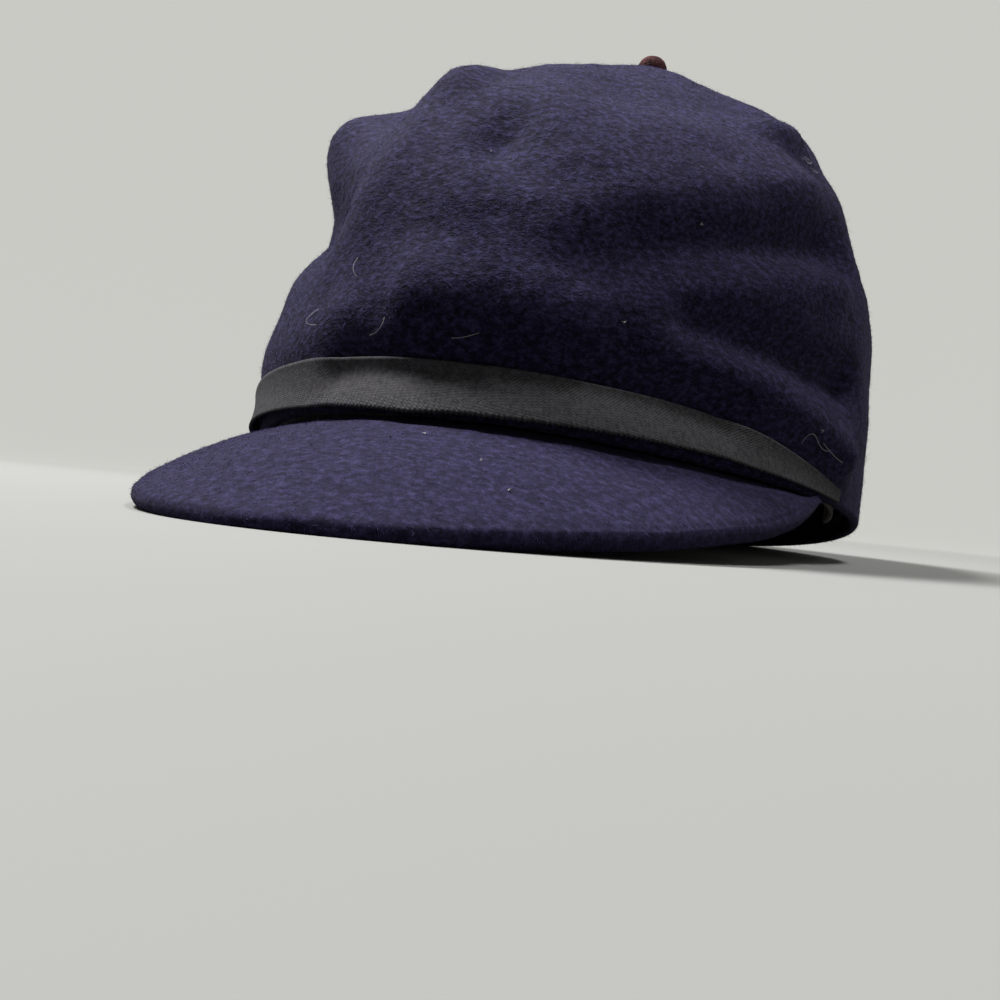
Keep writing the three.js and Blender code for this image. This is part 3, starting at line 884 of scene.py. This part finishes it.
def tape_material(name, dark, light):
    """Herringbone twill: slanting ribs that turn back near the lower edge, laid by the cloth map, with
    painted shade in their grooves.
    """
    tape = Material(name)
    place = tape.add("ShaderNodeUVMap", uv_map="cloth").outputs["UV"]
    apart = tape.add("ShaderNodeSeparateXYZ", {0: place}).outputs
    from_turn = tape.math("ABSOLUTE", tape.math("SUBTRACT", apart["Y"], RIB_TURN_HEIGHT * MM), 0)
    along = tape.math("SUBTRACT", apart["X"], tape.math("MULTIPLY", from_turn, RIB_LEAN))
    ribs = tape.math("SINE", tape.math("MULTIPLY", along, 2 * math.pi / (RIB_PITCH * MM)), 0)
    uneven = tape.noise(900, detail=4, roughness=0.75)
    height = tape.math("ADD", tape.math("MULTIPLY", ribs, 0.11), uneven)
    # Colour follows the ribs' height: partly the twill's pattern, partly painted shade that darkens the
    # grooves
    tape.set(base_color=tape.ramp(height, (0.3, dark), (0.72, light)))
    tape.set(roughness=tape.math("ADD", tape.math("MULTIPLY", uneven, 0.3), 0.6))
    tape.bump(height, 0.5, 0.35)
    tape.shader.inputs["Specular IOR Level"].default_value = 0.08
    return tape


def woven_material(name, dark, light, pitch, relief):
    """Plain woven cloth: two crossing sets of threads laid by the piece's cloth map, in metres."""
    cloth = Material(name)
    place = cloth.add("ShaderNodeUVMap", uv_map="cloth").outputs["UV"]
    apart = cloth.add("ShaderNodeSeparateXYZ", {0: place}).outputs
    turns = 2 * math.pi / (pitch * MM)
    warp = cloth.math("SINE", cloth.math("MULTIPLY", apart["X"], turns), 0)
    weft = cloth.math("SINE", cloth.math("MULTIPLY", apart["Y"], turns), 0)
    weave = cloth.math("MULTIPLY", warp, weft)
    uneven = cloth.noise(500, detail=5)
    height = cloth.math("ADD", cloth.math("MULTIPLY", weave, 0.18), uneven)
    cloth.set(base_color=cloth.ramp(height, (0.25, dark), (0.8, light)))
    cloth.set(roughness=cloth.math("ADD", cloth.math("MULTIPLY", uneven, 0.2), 0.75))
    cloth.bump(height, 0.6, relief)
    cloth.shader.inputs["Specular IOR Level"].default_value = 0.2
    return cloth


def make_stage():
    """Pale floor that sweeps up into a wall all round, the wall and far floor glowing with painted light.
    """
    profile = [(0, 0), (FLOOR_RADIUS, 0)]
    for turn in np.radians(np.linspace(0, 90, SWEEP_STEPS)):
        out = FLOOR_RADIUS + SWEEP_RADIUS * math.sin(turn)
        profile.append((out, SWEEP_RADIUS * (1 - math.cos(turn))))
    profile.append((FLOOR_RADIUS + SWEEP_RADIUS, WALL_HEIGHT))
    turn = np.linspace(0, 2 * np.pi, STAGE_SIDES, endpoint=False)
    rings = []
    for radius, height in profile:
        level = np.full(STAGE_SIDES, height)
        rings.append(np.stack([radius * np.cos(turn), radius * np.sin(turn), level], axis=-1))
    points = np.concatenate(rings)
    faces = []
    for ring in range(len(profile) - 1):
        low = ring * STAGE_SIDES
        high = low + STAGE_SIDES
        for column in range(STAGE_SIDES):
            beside = (column + 1) % STAGE_SIDES
            faces.append((low + column, high + column, high + beside, low + beside))
    mesh = bpy.data.meshes.new("floor")
    mesh.from_pydata(points, [], faces)
    mesh.polygons.foreach_set("use_smooth", np.full(len(mesh.polygons), True))
    floor = bpy.data.objects.new("floor", mesh)
    bpy.context.scene.collection.objects.link(floor)
    backdrop = Material("glowing_backdrop")
    place = backdrop.add("ShaderNodeTexCoord").outputs["Object"]
    away = backdrop.add("ShaderNodeVectorMath", {0: place}, operation="LENGTH").outputs["Value"]
    behind = backdrop.add("ShaderNodeSeparateXYZ", {0: place}).outputs["Y"]
    # Painted glow: the wall and far floor give off light of their own, dimmer in front of the cap than
    # behind it
    glow = backdrop.ramp(backdrop.rise(behind, SHADE_END, GLOW_START), (0, WALL_SHADE), (1, WALL_GLOW))
    share = backdrop.rise(away, FLOOR_REACH, WALL_REACH)
    backdrop.set(base_color=backdrop.ramp(share, (0, FLOOR_COLOUR), (1, (0, 0, 0))))
    backdrop.set(emission_color=glow, emission_strength=share)
    backdrop.shader.inputs["Roughness"].default_value = 0.9
    backdrop.shader.inputs["Specular IOR Level"].default_value = 0.1
    backdrop.wear(floor)


def add_light(name, place, power):
    light = bpy.data.lights.new(name, "AREA")
    light.size = LIGHT_SIZE
    light.energy = power
    lamp = bpy.data.objects.new(name, light)
    lamp.location = place
    lamp.rotation_euler = (Vector(LIGHT_TARGET) - Vector(place)).to_track_quat("-Z", "Y").to_euler()
    bpy.context.scene.collection.objects.link(lamp)


def add_camera():
    camera = bpy.data.cameras.new("camera")
    camera.sensor_width = SENSOR_WIDTH
    camera.lens = SENSOR_WIDTH * FOCAL_PIXELS / FRAME_PIXELS
    camera.clip_start = 0.01
    holder = bpy.data.objects.new("camera", camera)
    upright = Euler((math.radians(90 + LOOK_ELEVATION), 0, math.radians(LOOK_AZIMUTH)))
    roll = Euler((0, 0, math.radians(CAMERA_ROLL)))
    holder.rotation_euler = (upright.to_matrix() @ roll.to_matrix()).to_euler()
    holder.location = Vector(EYE) * MM
    bpy.context.scene.collection.objects.link(holder)
    bpy.context.scene.camera = holder


crown, crown_skin = make_crown()
peak, peak_skin = make_peak()
facing = make_peak_facing()
tape = make_tape()
sweatband = make_sweatband()
earflap = make_earflap()
button = make_button()

wool_material("napped_wool", *NAVY).wear(crown)
wool_material("peak_wool", *PEAK_NAVY, squash=1, relief=0.3).wear(peak)
wool_material("flap_wool", *FLAP_NAVY).wear(earflap)
wool_material("button_wool", *BUTTON_RED).wear(button)
woven_material("facing_cloth", *FACING_GREY, FACING_PITCH, FACING_RELIEF).wear(facing)
woven_material("sweatband_cotton", *COTTON_GREY, COTTON_PITCH, COTTON_RELIEF).wear(sweatband)
tape_material("tape_cloth", *TAPE_CHARCOAL).wear(tape)

crown_fibre = toned_material("crown_fibre", *CROWN_FIBRE)
peak_fibre = toned_material("peak_fibre", *PEAK_FIBRE)
for row in NAP_LAYERS:
    layer = row["layer"]
    sizes = dict(length=row["length"], width=row["width"], lift=row["lift"], segments=row["segments"])
    crown_fibre.wear(fibres("crown_" + layer, crown_skin, INSIDE_CROWN, "wool", row["crown"], **sizes))
    sizes["length"] *= PEAK_NAP_SHARE
    sizes["lift"] *= PEAK_NAP_STEEPNESS
    peak_fibre.wear(fibres("peak_" + layer, peak_skin, UNDER_PEAK, "peak_wool", row["peak"], **sizes))
pale = Material("pale_lint")
pale.set(base_color=LINT_COLOUR, roughness=0.9)
pale.wear(make_lint())

make_stage()
add_light("key", KEY_PLACE, KEY_POWER)
add_light("fill", FILL_PLACE, FILL_POWER)
world = bpy.data.worlds.new("studio")
world.use_nodes = True
world.node_tree.nodes["Background"].inputs["Color"].default_value = WORLD_COLOUR
world.node_tree.nodes["Background"].inputs["Strength"].default_value = WORLD_STRENGTH
bpy.context.scene.world = world
bpy.context.scene.view_settings.view_transform = "Standard"
add_camera()
